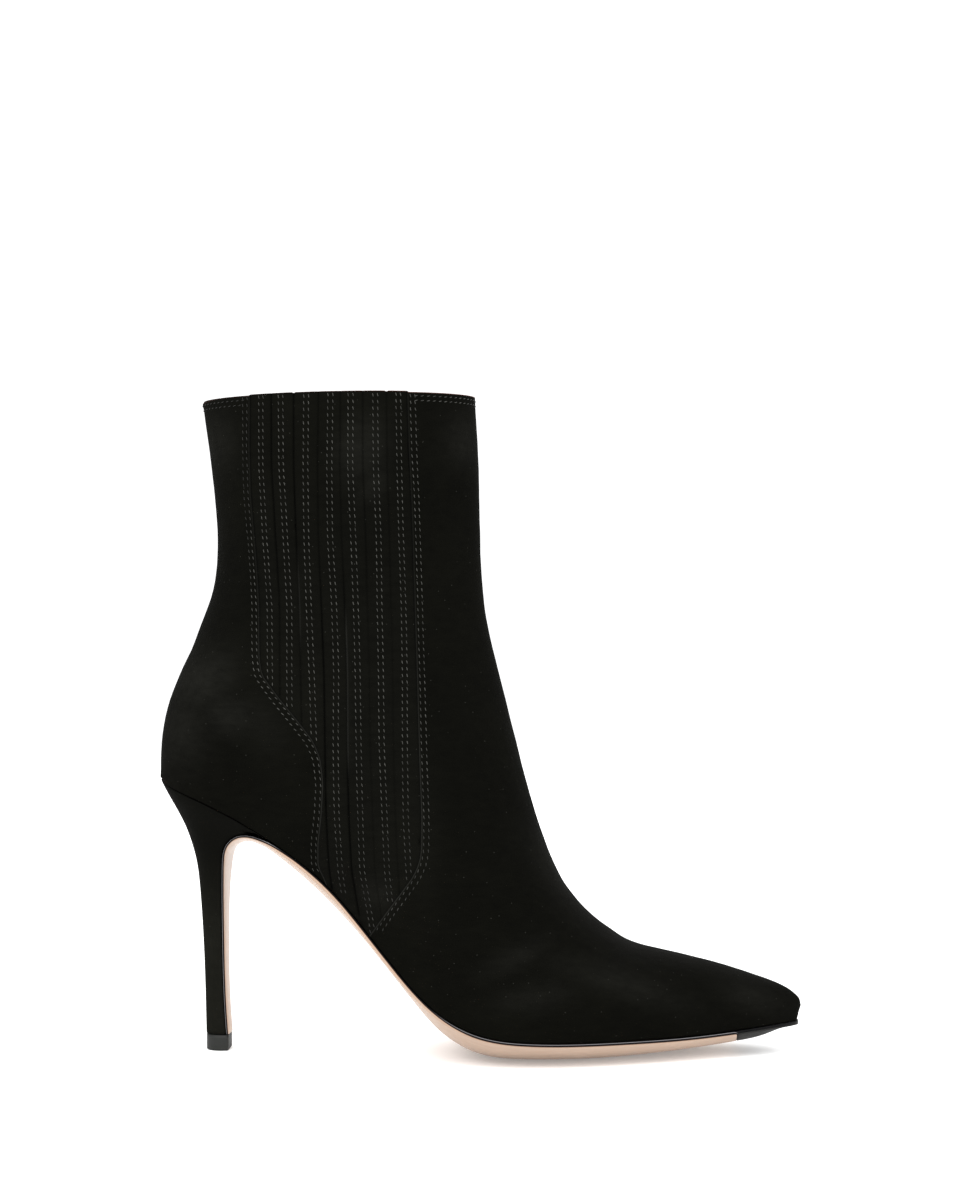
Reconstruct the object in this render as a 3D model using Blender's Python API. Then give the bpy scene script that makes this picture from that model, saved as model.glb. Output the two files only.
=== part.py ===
"""Pointed suede ankle bootie on a slim covered heel, right shoe, standing empty.

X runs to the toe, Y to the inner side of the foot and Z up, in metres.
The origin is the middle of the face that the heel tip stands on.
Every length in the tables is in millimetres.
"""
import math

import bmesh
import bpy
import numpy as np

MM = 0.001

# Driving sizes
WALL = 2.0              # upper with its lining
GAP = 0.2               # clearance between pieces that meet
EDGE = 1.4              # height of the sole's painted edge
SOLE_REACH = 0.4        # how far the sole stands out under the upper
BULGE_POWER = 3.0       # roundness of the sole across its width
TIP_X = 215.6           # front end of the line where upper and sole meet
SEAT_X = -21.3          # rear end of that line
SEAT_Z = 101.2
COLLAR_Z = 241.1        # back of the top line
SHAFT_PACE = 30.0       # millimetres of shaft to one step of the station scale
TOE_PAD_X = 192.0       # rear edge of the rubber toe pad
TOE_PAD_EDGE = 0.5      # height of the toe pad at its rim
TOE_PAD_GAP = 0.1       # clearance between the toe pad and the sole
LIP_X = 22.0            # front end of the heel under the arch
TAIL_X = 24.0           # last section of the sole before its flap
FLAP_THICK = 1.0        # rim of the flap down the heel's breast
HEEL_WIDEST = 0.6       # share of a heel cut where it is widest
HEEL_SAG = 5.0          # heel cuts over which the curve of the seat dies away
HEEL_AROUND = 9         # points round the heel's back on one side
HEEL_FRONT = (0.8, 1.0)  # shares of the cut where its front has points
TIP_HEIGHT = 5.9
TIP_LONG = 4.4          # half length of the heel tip
TIP_WIDE = 4.9          # half width of the heel tip
TIP_BEVEL = 0.3
TIP_CORNER = 0.5        # how much narrower the tip is at its front edge
INSOLE_THICK = 2.0
INSOLE_INSET = WALL + 0.6
INSOLE_DROP = 0.1       # how far the insole's face lies over the sole's bed
INSOLE_CROWN = 0.94     # the insole's share of the width of that bed
THIN = 0.4              # least half width of a section

# Mesh steps
FOOT_STEPS = 34
SHAFT_STEPS = 11
INSOLE_STEPS = 30
UP_STEPS = 16           # faces from the sole line to the ridge on one side
ACROSS = 15             # points across the sole
INSOLE_ACROSS = 9
CROWDING = 0.7          # how strongly sections crowd towards both ends
CUT_APART = 1.5         # least distance from a regular section to a named one
SMOOTH_FROM = 8         # first section that is evened out with its neighbours
SMOOTH_PASSES = 6
SMOOTH_FADE = 4.0       # a quarter of the way up the evening out is at its full
NOSE_CUTS = (0.12, 0.5)  # extra sections this far behind the tip
TIP_ROUND = (0.0, 0.03, 0.1, 0.22, 0.38, 0.6, 0.94, 1.0)

# Line where the upper meets the sole, seen from the side and from below.
# outer and inner are half widths from mid; cup is how far the foot bed sags in
# the middle and belly how far the sole's underside does.
FEATHER_COLUMNS = ("x", "z", "outer", "inner", "mid", "cup", "belly")
FEATHER = (
    (215.6, 11.7, 0.0, 0.0, 6.0, 0.0, 0.1),
    (210.0, 11.6, 7.5, 7.5, 5.9, 0.1, 0.5),
    (202.0, 11.2, 12.2, 12.0, 5.6, 0.6, 3.4),
    (192.0, 10.5, 16.7, 16.7, 5.2, 1.3, 4.4),
    (180.0, 9.8, 21.4, 21.4, 4.6, 2.2, 5.3),
    (160.0, 9.5, 28.8, 28.6, 3.4, 4.0, 7.1),
    (140.0, 9.5, 34.4, 34.0, 2.2, 5.2, 8.5),
    (122.0, 9.7, 36.9, 36.3, 1.2, 5.6, 8.8),
    (106.0, 10.6, 36.8, 35.2, 0.4, 5.4, 9.6),
    (92.0, 14.4, 34.6, 31.4, -0.4, 4.4, 8.8),
    (78.0, 24.2, 31.4, 26.2, -1.0, 2.0, 3.8),
    (62.0, 43.0, 27.6, 21.6, -1.2, 0.8, 2.9),
    (44.0, 63.9, 25.0, 20.8, -0.8, 0.4, 4.6),
    (26.0, 77.9, 24.8, 23.4, -0.2, 0.0, 3.6),
    (10.0, 88.1, 26.2, 26.0, 0.0, 0.0, 3.0),
    (-4.0, 94.8, 24.6, 24.6, 0.0, 0.0, 3.0),
    (-14.0, 98.5, 18.3, 18.3, 0.0, 0.0, 3.0),
    (-21.3, 101.2, 0.0, 0.0, 0.0, 0.0, 3.0),
)

# Front outline from the nose over the vamp and up the shin
RIDGE_COLUMNS = ("z", "x")
RIDGE = (
    (16.8, 217.0), (20.1, 216.1), (23.0, 212.6), (25.1, 208.7), (28.0, 199.9),
    (31.1, 191.0), (35.6, 173.3), (39.6, 155.6), (45.1, 146.4), (50.3, 139.3),
    (60.6, 130.4), (76.2, 122.6), (97.0, 116.2), (128.0, 108.2), (149.0, 103.0),
    (159.3, 100.7), (175.0, 98.9), (195.8, 98.1), (216.6, 97.6), (242.8, 96.2),
)

# Rear outline from the seat up to the top line
BACK_COLUMNS = ("z", "x")
BACK = (
    (101.2, -21.3), (111.4, -21.7), (122.6, -20.6), (133.0, -17.6),
    (143.6, -12.7), (154.0, -8.1), (164.5, -4.0), (175.0, -1.0),
    (188.0, -0.2), (206.4, -1.5), (222.0, -3.4), (241.1, -6.1),
)

# Cross sections of the upper. Each one is a straight cut, seen from the side,
# from its foot to the ridge height in the second column. at is where along the
# cut the shoe is widest; low and high say how full it is under and over that.
FOOT_COLUMNS = ("x", "ridge", "outer", "inner", "at", "low", "high")
FOOT = (
    (215.6, 16.8, 0.0, 0.0, 0.40, 2.1, 2.0),
    (210.0, 24.4, 8.7, 8.7, 0.38, 2.1, 2.1),
    (202.0, 27.8, 13.9, 13.7, 0.36, 2.2, 2.2),
    (192.0, 31.5, 18.8, 18.8, 0.34, 2.2, 2.2),
    (180.0, 34.8, 23.7, 23.7, 0.33, 2.3, 2.2),
    (160.0, 39.5, 31.2, 31.0, 0.31, 2.4, 2.2),
    (140.0, 45.6, 36.9, 36.4, 0.29, 2.4, 2.1),
    (122.0, 55.5, 39.3, 38.6, 0.27, 2.4, 2.0),
    (106.0, 66.5, 39.2, 38.0, 0.27, 2.3, 2.0),
    (92.0, 81.0, 37.6, 36.4, 0.28, 2.2, 2.0),
    (78.0, 98.5, 35.6, 34.4, 0.31, 2.1, 2.0),
    (62.0, 118.0, 33.8, 32.9, 0.34, 2.1, 2.0),
    (44.0, 136.0, 32.4, 31.9, 0.38, 2.1, 2.0),
    (26.0, 150.0, 31.4, 31.3, 0.42, 2.2, 2.0),
    (10.0, 161.0, 30.8, 30.9, 0.44, 2.4, 2.0),
    (-4.0, 170.0, 30.5, 30.6, 0.45, 2.5, 2.0),
    (-14.0, 177.0, 30.3, 30.4, 0.45, 2.6, 2.0),
    (-21.3, 185.0, 30.2, 30.3, 0.45, 2.6, 2.0),
)
SHAFT_COLUMNS = ("z", "ridge", "outer", "inner", "at", "low", "high")
SHAFT = (
    (112.0, 190.5, 30.2, 30.3, 0.45, 2.5, 2.0),
    (125.0, 197.0, 30.2, 30.3, 0.46, 2.3, 2.0),
    (140.0, 204.5, 30.2, 30.3, 0.46, 2.2, 2.0),
    (158.0, 212.5, 30.3, 30.3, 0.47, 2.1, 2.0),
    (178.0, 221.0, 30.5, 30.5, 0.48, 2.0, 2.0),
    (200.0, 229.3, 30.8, 30.8, 0.49, 2.0, 2.0),
    (220.0, 236.0, 31.1, 31.1, 0.49, 2.0, 2.0),
    (241.1, 242.8, 31.3, 31.3, 0.50, 2.0, 2.0),
)

# Heel from the seat down to the tip: rear and front end of each cut seen from
# the side, the largest half width, the half width at the flat front, and the
# crown of the sole's flap that covers this front.
HEEL_COLUMNS = ("back_x", "back_z", "front_x", "front_z", "wide", "front", "flap")
HEEL = (
    (-21.3, 101.2, 22.0, 80.7, 26.1, 24.2, 3.4),
    (-19.8, 98.0, 19.0, 81.0, 25.2, 23.7, 3.2),
    (-18.1, 95.0, 15.5, 82.0, 23.8, 22.8, 2.8),
    (-16.1, 91.6, 12.2, 82.1, 21.9, 21.4, 2.6),
    (-13.8, 87.5, 8.8, 81.3, 19.5, 19.2, 2.6),
    (-11.7, 83.2, 5.6, 78.9, 16.7, 16.4, 1.9),
    (-10.2, 78.9, 3.5, 75.6, 14.0, 13.6, 1.0),
    (-8.8, 74.2, 2.7, 71.4, 11.6, 11.2, 0.6),
    (-7.6, 68.6, 2.3, 66.0, 9.6, 9.2, 0.5),
    (-6.9, 61.5, 2.0, 59.6, 8.0, 7.6, 0.5),
    (-6.2, 52.0, 1.9, 51.5, 6.7, 6.3, 0.5),
    (-5.5, 40.0, 1.9, 40.0, 5.8, 5.4, 0.5),
    (-5.0, 27.0, 2.1, 27.0, 5.2, 4.9, 0.5),
    (-4.7, 15.0, 2.6, 15.0, 4.9, 4.7, 0.5),
    (-4.5, 6.1, 3.3, 6.1, 4.9, 4.7, 0.5),
)


def column(columns, rows, name):
    """One named column of a table."""
    at = columns.index(name)
    return np.array([row[at] for row in rows], dtype=float)


class Curve:
    """Smooth curve through points, without overshoot between them."""

    def __init__(self, xs, ys):
        order = np.argsort(xs)
        self.xs = np.asarray(xs, dtype=float)[order]
        self.ys = np.asarray(ys, dtype=float)[order]
        run = np.diff(self.xs)
        rise = np.diff(self.ys) / run
        slope = np.empty(len(self.xs))
        slope[0] = rise[0]
        slope[-1] = rise[-1]
        for i in range(1, len(rise)):
            before = rise[i - 1]
            after = rise[i]
            if before * after <= 0.0:
                slope[i] = 0.0
                continue
            total = run[i - 1] + run[i]
            mean = (before * run[i] + after * run[i - 1]) / total
            limit = 3.0 * min(abs(before), abs(after))
            slope[i] = math.copysign(min(abs(mean), limit), mean)
        self.slope = slope

    def __call__(self, x):
        x = min(max(x, self.xs[0]), self.xs[-1])
        i = int(np.searchsorted(self.xs, x)) - 1
        i = min(max(i, 0), len(self.xs) - 2)
        run = self.xs[i + 1] - self.xs[i]
        t = (x - self.xs[i]) / run
        keep = (1 + 2 * t) * (1 - t) ** 2
        lead = t * (1 - t) ** 2 * run
        tail = t * t * (t - 1) * run
        value = keep * self.ys[i] + (1 - keep) * self.ys[i + 1]
        return value + lead * self.slope[i] + tail * self.slope[i + 1]


def feather_curve(name):
    xs = column(FEATHER_COLUMNS, FEATHER, "x")
    return Curve(xs, column(FEATHER_COLUMNS, FEATHER, name))


def feather_square(name):
    """Squared half width, which keeps both ends of the outline round."""
    xs = column(FEATHER_COLUMNS, FEATHER, "x")
    return Curve(xs, column(FEATHER_COLUMNS, FEATHER, name) ** 2)


FEATHER_Z = feather_curve("z")
FEATHER_MID = feather_curve("mid")
FEATHER_CUP = feather_curve("cup")
FEATHER_BELLY = feather_curve("belly")
FEATHER_OUTER = feather_square("outer")
FEATHER_INNER = feather_square("inner")
RIDGE_X = Curve(column(RIDGE_COLUMNS, RIDGE, "z"), column(RIDGE_COLUMNS, RIDGE, "x"))
BACK_X = Curve(column(BACK_COLUMNS, BACK, "z"), column(BACK_COLUMNS, BACK, "x"))


def foot_station(x):
    """Station scale on the foot: even steps of it keep the nose round."""
    return math.sqrt(max(TIP_X - x, 0.0))


SEAT_STATION = foot_station(SEAT_X)


def shaft_station(z):
    return SEAT_STATION + (z - SEAT_Z) / SHAFT_PACE


def section_curve(name):
    xs = [foot_station(row[0]) for row in FOOT]
    xs += [shaft_station(row[0]) for row in SHAFT]
    ys = list(column(FOOT_COLUMNS, FOOT, name))
    ys += list(column(SHAFT_COLUMNS, SHAFT, name))
    return Curve(xs, ys)


SECTION = {name: section_curve(name) for name in FOOT_COLUMNS[1:]}


def half_width(curve, x):
    return math.sqrt(max(curve(x), 0.0))


def sole_frame(x):
    """Side-view point on the feather line and the direction out of the sole."""
    step = 0.5
    ahead = min(x + step, TIP_X)
    behind = max(x - step, SEAT_X)
    slope = (FEATHER_Z(ahead) - FEATHER_Z(behind)) / (ahead - behind)
    length = math.hypot(slope, 1.0)
    return x, FEATHER_Z(x), slope / length, -1.0 / length


def bulge(c):
    """Share of a crown that is left at c, from the middle (0) to the rim (1)."""
    return 1.0 - min(abs(c), 1.0) ** BULGE_POWER


def new_object(name, bm, color, roughness):
    bmesh.ops.recalc_face_normals(bm, faces=bm.faces[:])
    mesh = bpy.data.meshes.new(name)
    bm.to_mesh(mesh)
    bm.free()
    mesh.transform(((MM, 0, 0, 0), (0, MM, 0, 0), (0, 0, MM, 0), (0, 0, 0, 1)))
    material = bpy.data.materials.new(name)
    material.use_nodes = True
    shader = material.node_tree.nodes["Principled BSDF"]
    shader.inputs["Base Color"].default_value = (*color, 1.0)
    shader.inputs["Roughness"].default_value = roughness
    mesh.materials.append(material)
    obj = bpy.data.objects.new(name, mesh)
    bpy.context.scene.collection.objects.link(obj)
    mesh.shade_smooth()
    mesh.set_sharp_from_angle(angle=math.radians(40))
    return obj


def loft(rings):
    """Closed body through rings of equal count, each one closed, with end caps.

    A ring runs across its upper edge and back across its lower one, so that a
    cap is a strip of faces between the two.
    """
    bm = bmesh.new()
    rows = [[bm.verts.new(point) for point in ring] for ring in rings]
    count = len(rows[0])
    for near, far in zip(rows, rows[1:]):
        for i in range(count):
            j = (i + 1) % count
            bm.faces.new((near[i], near[j], far[j], far[i]))
    half = count // 2
    for row in (rows[0], rows[-1]):
        for i in range(half - 1):
            bm.faces.new((row[i], row[i + 1], row[count - 2 - i], row[count - 1 - i]))
    return bm


def eased(first, last, steps, power):
    """Values from first to last, closer together at both ends."""
    fine = 20
    angle = (np.arange(steps * fine) + 0.5) * math.pi / (steps * fine)
    run = np.concatenate(([0.0], np.cumsum(np.sin(angle) ** power)))
    run = run[::fine] / run[-1]
    return first + (last - first) * run


FOOT_CUTS = eased(TIP_X, SEAT_X, FOOT_STEPS, CROWDING)


# Upper
def upper_point(base, rib, share, side):
    """Point of the upper at a share of the cut from its foot to the ridge."""
    station = shaft_station(base) if rib == "shaft" else foot_station(base)
    if rib == "shaft":
        foot_x, foot_z, foot_w = BACK_X(base), base, 0.0
        mid = 0.0
    else:
        curve = FEATHER_OUTER if side < 0 else FEATHER_INNER
        foot_x, foot_z, foot_w = base, FEATHER_Z(base), half_width(curve, base)
        mid = FEATHER_MID(base)
    ridge_z = SECTION["ridge"](station)
    ridge_x = RIDGE_X(ridge_z)
    wide = SECTION["outer" if side < 0 else "inner"](station)
    at = SECTION["at"](station)
    low = SECTION["low"](station)
    high = SECTION["high"](station)
    if share >= at:
        reach = (share - at) / (1.0 - at)
        width = wide * max(1.0 - reach ** high, 0.0) ** (1.0 / high)
    elif wide <= foot_w:
        width = wide
    else:
        cut = (1.0 - (foot_w / wide) ** low) ** (1.0 / low)
        reach = (at - share) / (at / cut)
        width = wide * max(1.0 - reach ** low, 0.0) ** (1.0 / low)
    x = foot_x + (ridge_x - foot_x) * share
    z = foot_z + (ridge_z - foot_z) * share
    return x, mid + side * width, z


def smooth_skin(bases, shares, side):
    """One side of the upper, its width evened out from section to section."""
    skin = np.array([[upper_point(base, rib, share, side) for share in shares]
                     for base, rib in bases])
    for _ in range(SMOOTH_PASSES):
        width = skin[:, :, 1].copy()
        for s in range(SMOOTH_FROM, len(bases) - 1):
            for q in range(1, UP_STEPS):
                back = skin[s, q] - skin[s - 1, q]
                ahead = skin[s + 1, q] - skin[s, q]
                before = math.hypot(back[0], back[2])
                after = math.hypot(ahead[0], ahead[2])
                mean = width[s - 1, q] * after + width[s + 1, q] * before
                mean /= before + after
                share = min(SMOOTH_FADE * shares[q], 1.0) / 2.0
                skin[s, q, 1] = width[s, q] + (mean - width[s, q]) * share
    return skin


def build_upper():
    foot = list(FOOT_CUTS)
    foot[1:1] = [TIP_X - back for back in NOSE_CUTS]
    seat = len(foot) - 1
    bases = [(x, "foot") for x in foot]
    shaft = np.linspace(SEAT_Z, COLLAR_Z, SHAFT_STEPS + 1)[1:]
    bases += [(z, "shaft") for z in shaft]
    angles = np.linspace(0.0, math.pi, UP_STEPS + 1)
    shares = (1.0 - np.cos(angles)) / 2.0
    skin = {side: smooth_skin(bases, shares, side) for side in (-1, 1)}

    bm = bmesh.new()
    grid = {}
    last = len(bases) - 1
    for s, (base, rib) in enumerate(bases):
        for q in range(UP_STEPS + 1):
            for side in (-1, 1):
                closed = s == 0 or q == UP_STEPS or (q == 0 and s >= seat)
                if closed and side == 1:
                    grid[s, q, side] = grid[s, q, -1]
                    continue
                x, y, z = skin[side][s, q]
                if closed:
                    y = FEATHER_MID(base) if rib == "foot" else 0.0
                grid[s, q, side] = bm.verts.new((x, y, z))
    for s in range(last):
        for q in range(UP_STEPS):
            for side in (-1, 1):
                ring = [grid[s, q, side], grid[s + 1, q, side],
                        grid[s + 1, q + 1, side], grid[s, q + 1, side]]
                if side == -1:
                    ring.reverse()
                bm.faces.new(ring)
    bmesh.ops.recalc_face_normals(bm, faces=bm.faces[:])
    bm.normal_update()

    low_x, low_z = BACK_X(COLLAR_Z), COLLAR_Z
    high_z = SHAFT[-1][1]
    high_x = RIDGE_X(high_z)
    rim_x, rim_z = -(high_z - low_z), high_x - low_x
    rim_length = math.hypot(rim_x, rim_z)
    inner = {}
    outer = list(bm.verts)
    for key, vert in grid.items():
        if vert in inner:
            continue
        s, q, _ = key
        push = vert.normal.copy()
        flat = None
        if s == last:
            flat = (rim_x / rim_length, 0.0, rim_z / rim_length)
        elif q == 0 and s <= seat:
            _, _, nx, nz = sole_frame(bases[s][0])
            flat = (nx, 0.0, nz)
        if flat:
            along = push.x * flat[0] + push.z * flat[2]
            push.x -= along * flat[0]
            push.z -= along * flat[2]
            push.normalize()
        inner[vert] = tuple(vert.co - push * WALL)
    skins = {vert: bm.verts.new(inner[vert]) for vert in outer}
    for face in list(bm.faces):
        bm.faces.new([skins[vert] for vert in reversed(face.verts)])
    for edge in [edge for edge in bm.edges if len(edge.link_faces) == 1]:
        a, b = edge.verts
        if a in skins and b in skins:
            bm.faces.new((a, b, skins[b], skins[a]))
    return new_object("upper", bm, (0.02, 0.02, 0.018), 0.95)


# Sole
def sole_width(curve, x):
    """Half width of the sole, which reaches a little past the upper."""
    return half_width(curve, min(x - SOLE_REACH, TIP_X)) + SOLE_REACH


def cross_points(x, depth, narrow, count):
    """Points across the shoe at depth(c) out of the sole from the feather line."""
    px, pz, nx, nz = sole_frame(min(x, TIP_X))
    points = []
    for c in np.linspace(-1.0, 1.0, count):
        curve = FEATHER_OUTER if c < 0 else FEATHER_INNER
        y = FEATHER_MID(x) + c * (sole_width(curve, x) - narrow)
        out = depth(c)
        points.append((x + nx * out, y, max(pz + nz * out, 0.0)))
    return points


def sole_rings(xs, top, bottom, count):
    rings = []
    for x in xs:
        upper = cross_points(x, lambda c: top(x, c), 0.0, count)
        lower = cross_points(x, lambda c: bottom(x, c), 0.0, count)
        rings.append(upper + lower[::-1])
    return rings


def bed(x, c):
    """Top of the sole below the feather line."""
    return GAP + FEATHER_CUP(x) * bulge(c)


def underside(x, c):
    return GAP + EDGE + FEATHER_BELLY(x) * bulge(c)


def split(x, c):
    """Where the toe pad's top lies below the feather line."""
    return bed(x, c) + EDGE - TOE_PAD_EDGE


def flap_rings(count):
    """The sole's thin tail: over the heel's front corner and down its breast."""
    fronts = [(row[2], row[3]) for row in HEEL]
    halves = column(HEEL_COLUMNS, HEEL, "front")
    crowns = column(HEEL_COLUMNS, HEEL, "flap")
    rings = []
    for i in range(1, len(HEEL)):
        before = fronts[i - 1]
        after = fronts[min(i + 1, len(HEEL) - 1)]
        tx, tz = after[0] - before[0], after[1] - before[1]
        length = math.hypot(tx, tz)
        # straight out of the heel: the travel direction turned to the front
        nx, nz = -tz / length, tx / length
        if nx < 0.0 and nz > 0.0:
            nx, nz = -nx, -nz
        x, z = fronts[i]
        top = []
        bottom = []
        for c in np.linspace(-1.0, 1.0, count):
            y = c * halves[i]
            far = GAP + FLAP_THICK + crowns[i] * bulge(c)
            top.append((x + nx * GAP, y, z + nz * GAP))
            bottom.append((x + nx * far, y, z + nz * far))
        rings.append(top + bottom[::-1])
    return rings


def toe_cuts(rear):
    """Sections from the toe to the pad's rear edge, the same as the upper's."""
    cuts = [TIP_X + SOLE_REACH, TIP_X]
    cuts += [x for x in FOOT_CUTS[1:] if x > TOE_PAD_X + CUT_APART]
    return cuts + [rear]


def build_outsole():
    toe = toe_cuts(TOE_PAD_X)
    rings = sole_rings(toe, bed, lambda x, c: split(x, c) - TOE_PAD_GAP, ACROSS)
    body = [TOE_PAD_X - TOE_PAD_GAP / 2]
    body += [x for x in FOOT_CUTS if TAIL_X + CUT_APART < x < TOE_PAD_X - CUT_APART]
    body.append(TAIL_X)
    rings += sole_rings(body, bed, underside, ACROSS)
    rings += flap_rings(ACROSS)
    bm = loft(rings)
    return new_object("outsole", bm, (0.62, 0.46, 0.36), 0.55)


def build_toe_pad():
    xs = toe_cuts(TOE_PAD_X + 1.5 * TOE_PAD_GAP)
    bm = loft(sole_rings(xs, split, underside, ACROSS))
    return new_object("toe_pad", bm, (0.04, 0.04, 0.04), 0.6)


# Heel
def heel_half(row, t):
    """Half width of a heel cut at t, from its round back to its flat front."""
    wide, front = row[4], row[5]
    if t < HEEL_WIDEST:
        return wide * math.sqrt(max(1.0 - (1.0 - t / HEEL_WIDEST) ** 2, 0.0))
    return wide - (wide - front) * ((t - HEEL_WIDEST) / (1.0 - HEEL_WIDEST)) ** 2


def build_heel():
    turn = np.linspace(0.0, 1.0, HEEL_AROUND)
    # the last thousandth keeps the two sides apart at the very back
    back = HEEL_WIDEST * turn ** 2 * 0.999 + 0.001
    shares = np.concatenate((back, HEEL_FRONT))
    rings = []
    for i, row in enumerate(HEEL):
        bx, bz, fx, fz = row[:4]
        sag = max(1.0 - i / HEEL_SAG, 0.0)
        left = []
        right = []
        for t in shares:
            x = bx + (fx - bx) * t
            z = bz + (fz - bz) * t
            seat_x = SEAT_X + (LIP_X - SEAT_X) * t
            chord = SEAT_Z + (HEEL[0][3] - SEAT_Z) * t
            z += sag * (FEATHER_Z(seat_x) - chord) - (GAP if i == 0 else 0.0)
            y = heel_half(row, t)
            left.append((x, -y, z))
            right.append((x, y, z))
        rings.append(left + right[::-1])
    bm = loft(rings)
    return new_object("heel", bm, (0.02, 0.02, 0.018), 0.95)


def build_heel_tip():
    levels = ((0.0, TIP_BEVEL), (TIP_BEVEL, 0.0), (TIP_HEIGHT, 0.0))
    rings = []
    for z, inset in levels:
        left = []
        right = []
        for t in TIP_ROUND:
            x = (2.0 * t - 1.0) * (TIP_LONG - inset)
            reach = min(t / HEEL_WIDEST, 1.0)
            y = TIP_WIDE * math.sqrt(1.0 - (1.0 - reach) ** 2) - inset
            if t == 1.0:
                y -= TIP_CORNER
            y = max(y, THIN)
            left.append((x, -y, z))
            right.append((x, y, z))
        rings.append(left + right[::-1])
    bm = loft(rings)
    return new_object("heel_tip", bm, (0.05, 0.05, 0.05), 0.5)


# Insole
def inset_outline(curve, distance):
    """The feather outline moved inwards, as arrays of x and half width."""
    samples = 400
    xs = eased(SEAT_X, TIP_X, samples, 0.9)
    widths = np.array([half_width(curve, x) for x in xs])
    tangent_x = np.gradient(xs)
    tangent_w = np.gradient(widths)
    length = np.hypot(tangent_x, tangent_w)
    moved_x = xs + distance * tangent_w / length
    moved_w = widths - distance * tangent_x / length
    keep = np.concatenate(([True], np.diff(moved_x) > 0.0)) & (moved_w > 0.0)
    return moved_x[keep], moved_w[keep]


def build_insole():
    outer_x, outer_w = inset_outline(FEATHER_OUTER, INSOLE_INSET)
    inner_x, inner_w = inset_outline(FEATHER_INNER, INSOLE_INSET)
    rear = max(outer_x[0], inner_x[0]) + INSOLE_DROP
    front = min(outer_x[-1], inner_x[-1]) - THIN
    rings = []
    for x in eased(front, rear, INSOLE_STEPS, CROWDING):
        px, pz, nx, nz = sole_frame(x)
        halves = (np.interp(x, outer_x, outer_w), np.interp(x, inner_x, inner_w))
        top = []
        bottom = []
        for c in np.linspace(-1.0, 1.0, INSOLE_ACROSS):
            half = max(halves[0] if c < 0 else halves[1], THIN)
            y = FEATHER_MID(x) + c * half
            low = FEATHER_CUP(x) * bulge(c * INSOLE_CROWN) - INSOLE_DROP
            high = low - INSOLE_THICK
            top.append((px + nx * high, y, pz + nz * high))
            bottom.append((px + nx * low, y, pz + nz * low))
        rings.append(top + bottom[::-1])
    bm = loft(rings)
    return new_object("insole", bm, (0.3, 0.22, 0.18), 0.8)


def clear_scene():
    for obj in list(bpy.data.objects):
        bpy.data.objects.remove(obj, do_unlink=True)


clear_scene()
build_upper()
build_outsole()
build_toe_pad()
build_heel()
build_heel_tip()
build_insole()
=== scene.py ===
# %% [markdown]
# # A pointed suede bootie on a slim heel
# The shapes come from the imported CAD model, which stays fixed. This file adds what a solid
# model leaves out: the sewn strips of the stretch panel, the panel edges, the thread, the
# folded top line, soft creases, and a finish for every surface.

# %% The frame and the units
import math

import bmesh
import bpy
import numpy as np
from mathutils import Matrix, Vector, noise
from mathutils.bvhtree import BVHTree


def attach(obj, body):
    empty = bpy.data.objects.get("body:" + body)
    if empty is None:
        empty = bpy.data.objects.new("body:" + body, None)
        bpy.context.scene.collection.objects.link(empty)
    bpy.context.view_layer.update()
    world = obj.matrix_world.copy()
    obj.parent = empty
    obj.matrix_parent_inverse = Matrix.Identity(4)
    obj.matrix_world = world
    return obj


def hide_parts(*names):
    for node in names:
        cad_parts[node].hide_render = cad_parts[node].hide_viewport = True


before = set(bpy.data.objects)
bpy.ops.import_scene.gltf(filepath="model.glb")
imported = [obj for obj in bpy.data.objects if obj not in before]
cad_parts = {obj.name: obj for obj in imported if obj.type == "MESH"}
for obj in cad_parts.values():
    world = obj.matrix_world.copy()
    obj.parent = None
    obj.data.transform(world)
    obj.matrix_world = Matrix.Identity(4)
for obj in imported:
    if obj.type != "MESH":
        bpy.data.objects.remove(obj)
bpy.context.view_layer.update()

MM = 0.001

# %% [markdown]
# ## The camera
# The bootie is seen from its outer side, turned by two and a half degrees, with the lens as
# high as the ankle. A camera could tilt down to frame it, but a level one with a small shift
# keeps the shaft and the heel upright, as a product photographer does.

# %% The camera
TURN = math.radians(2.5)
TARGET = Vector((0.097, 0.0, 0.1601))
DISTANCE = 0.818        # metres
PHOTO_HEIGHT = 1200     # pixels
FOCUS_PIXELS = 2200.4   # the focal length, in the same pixels
RISE_PIXELS = 20        # the shift of the lens, in the same pixels
SENSOR = 36.0           # millimetres high


def placed(name, data):
    """A new object at the origin, in the scene."""
    obj = bpy.data.objects.new(name, data)
    bpy.context.scene.collection.objects.link(obj)
    return obj


camera_data = bpy.data.cameras.new("camera")
camera_data.sensor_fit = "VERTICAL"
camera_data.sensor_height = SENSOR
camera_data.lens = SENSOR * FOCUS_PIXELS / PHOTO_HEIGHT
camera_data.shift_y = RISE_PIXELS / PHOTO_HEIGHT
camera = placed("camera", camera_data)
camera.location = TARGET + DISTANCE * Vector((math.sin(TURN), -math.cos(TURN), 0.0))
camera.rotation_euler = (math.pi / 2, 0.0, TURN)
bpy.context.scene.camera = camera
print("lens", round(camera_data.lens, 2), "mm")

# %% [markdown]
# ## Shader sums
# A finish could be a web of links made one by one, but it is easier to read as a sum. `Wire`
# wraps a socket so that `1 - mask` adds the Math node by itself, and `Finish.node` makes every
# other node. Patterns are measured in millimetres on the shoe, so they stay put as it turns.

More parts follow.
